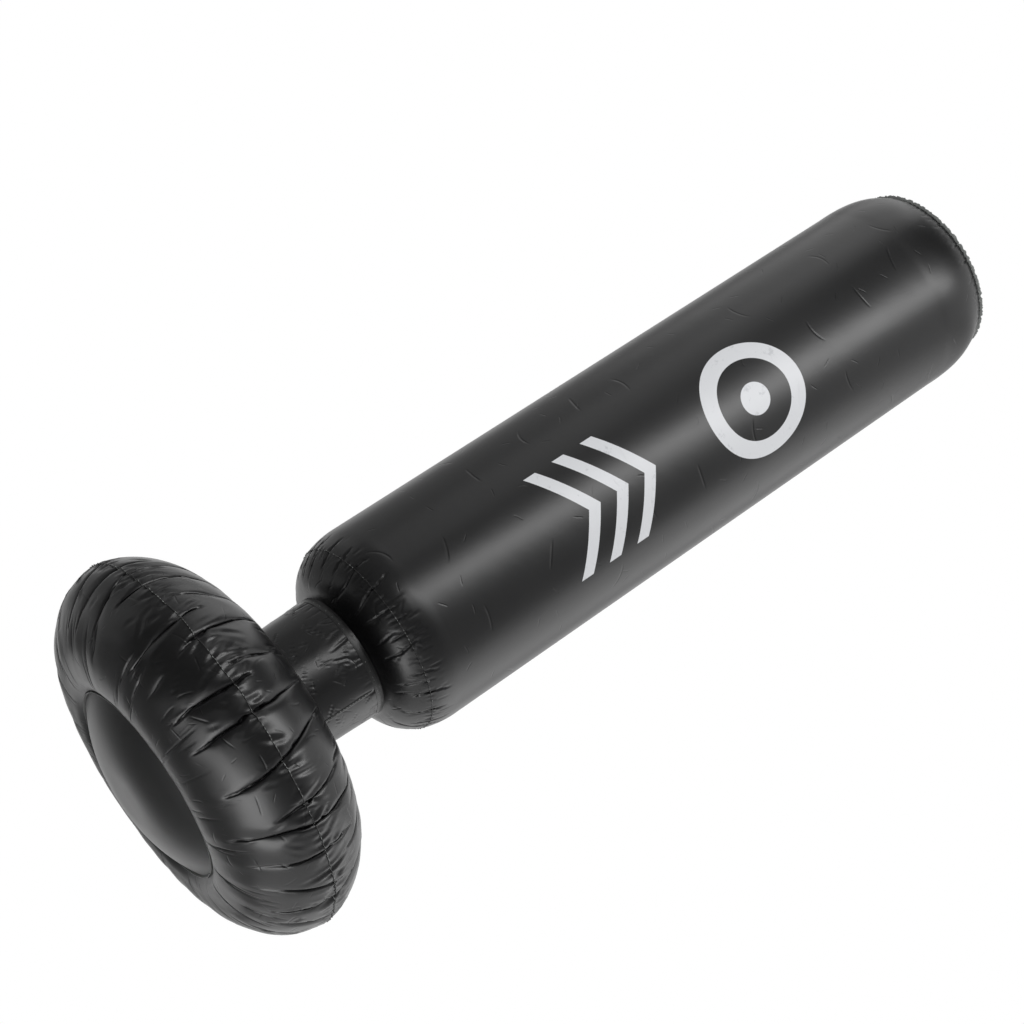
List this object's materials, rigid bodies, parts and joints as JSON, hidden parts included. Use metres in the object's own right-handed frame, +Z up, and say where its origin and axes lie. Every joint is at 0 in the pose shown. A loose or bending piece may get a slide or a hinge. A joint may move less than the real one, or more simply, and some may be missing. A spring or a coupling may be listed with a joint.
{
  "type": "inflatable punching bag",
  "caption": "Free-standing inflatable punching bag: a tall round column on a soft neck and a domed ring base that holds water, with an air valve and a filler cap at the back.",
  "frame": {"origin": "on the bag's axis at the flat patch that it stands on", "axes": "+Z up along the column, -Y the printed front, +Y the back with both valves"},
  "size_m": [0.592, 0.592, 1.5969],
  "materials": {
    "column_film": "satin black welded film",
    "neck_film": "satin black welded film",
    "base_film": "satin black welded film",
    "welds": "heat-welded film, slightly paler",
    "water": "clear water, stands in as a solid",
    "valve_vinyl": "soft moulded vinyl",
    "seal_rubber": "matt",
    "cap_plastic": "moulded, fine grain"
  },
  "bodies": {
    "base": {"base_upper_panel": "base_film", "base_lower_panel": "base_film", "base_equator_seam": "welds", "base_core_tube": "base_film", "bottom_disc": "base_film", "bottom_disc_seam": "welds", "water_ballast": "water", "neck_lower_seam": "welds", "filler_spout": "valve_vinyl", "filler_tether_collar": "valve_vinyl", "filler_tether_strap": "valve_vinyl", "filler_seal": "seal_rubber"},
    "neck": {"neck_sleeve": "neck_film", "neck_side_seam": "welds"},
    "column": {"column_wall": "column_film", "column_top_panel": "column_film", "column_top_seam": "welds", "column_shoulder_panel": "column_film", "column_shoulder_seam": "welds", "column_side_seam": "welds", "neck_upper_seam": "welds", "air_valve_flange": "valve_vinyl"},
    "air_stem": {"air_valve_stem": "valve_vinyl", "air_valve_web": "valve_vinyl", "air_valve_strap": "valve_vinyl"},
    "air_plug": {"air_valve_plug": "valve_vinyl"},
    "air_flap": {"air_valve_flap": "seal_rubber"},
    "filler_tether": {"filler_tether_eye": "valve_vinyl"},
    "filler_screw_cap": {"filler_cap": "cap_plastic"}
  },
  "joints": [
    {"name": "neck_pitch", "type": "hinge", "parent": "base", "child": "neck", "pos_m": [0, 0, 0.25], "axis": [1, 0, 0], "range_deg": [-30, 30], "stiffness_Nm_per_rad": 40, "deforming": ["neck_sleeve", "neck_side_seam"]},
    {"name": "neck_roll", "type": "hinge", "parent": "neck", "child": "column", "pos_m": [0, 0, 0.33], "axis": [0, 1, 0], "range_deg": [-30, 30], "stiffness_Nm_per_rad": 40, "deforming": ["neck_sleeve", "neck_side_seam"]},
    {"name": "air_valve_push", "type": "slide", "parent": "column", "child": "air_stem", "axis": [0, -1, 0], "range_m": [0, 0.008], "deforming": ["air_valve_web"]},
    {"name": "air_plug_swing", "type": "hinge", "parent": "air_stem", "child": "air_plug", "pos_m": [0, 0.1733, 0.55], "axis": [-1, 0, 0], "range_deg": [0, 120], "deforming": ["air_valve_strap"]},
    {"name": "air_flap_swing", "type": "hinge", "parent": "air_stem", "child": "air_flap", "pos_m": [0, 0.1554, 0.5665], "axis": [-1, 0, 0], "range_deg": [0, 60], "stiffness_Nm_per_rad": 0.00002},
    {"name": "filler_cap_lift", "type": "slide", "parent": "base", "child": "filler_tether", "axis": [0, 0, 1], "range_m": [0, 0.012], "deforming": ["filler_tether_strap"]},
    {"name": "filler_cap_spin", "type": "hinge", "parent": "filler_tether", "child": "filler_screw_cap", "pos_m": [0, 0.174, 0.26], "axis": [0, 0, 1], "range_deg": [0, 1080]}
  ],
  "couplings": [
    {"joint": "filler_cap_spin", "follows": "filler_cap_lift", "rad_per_m": 1570.8}
  ]
}
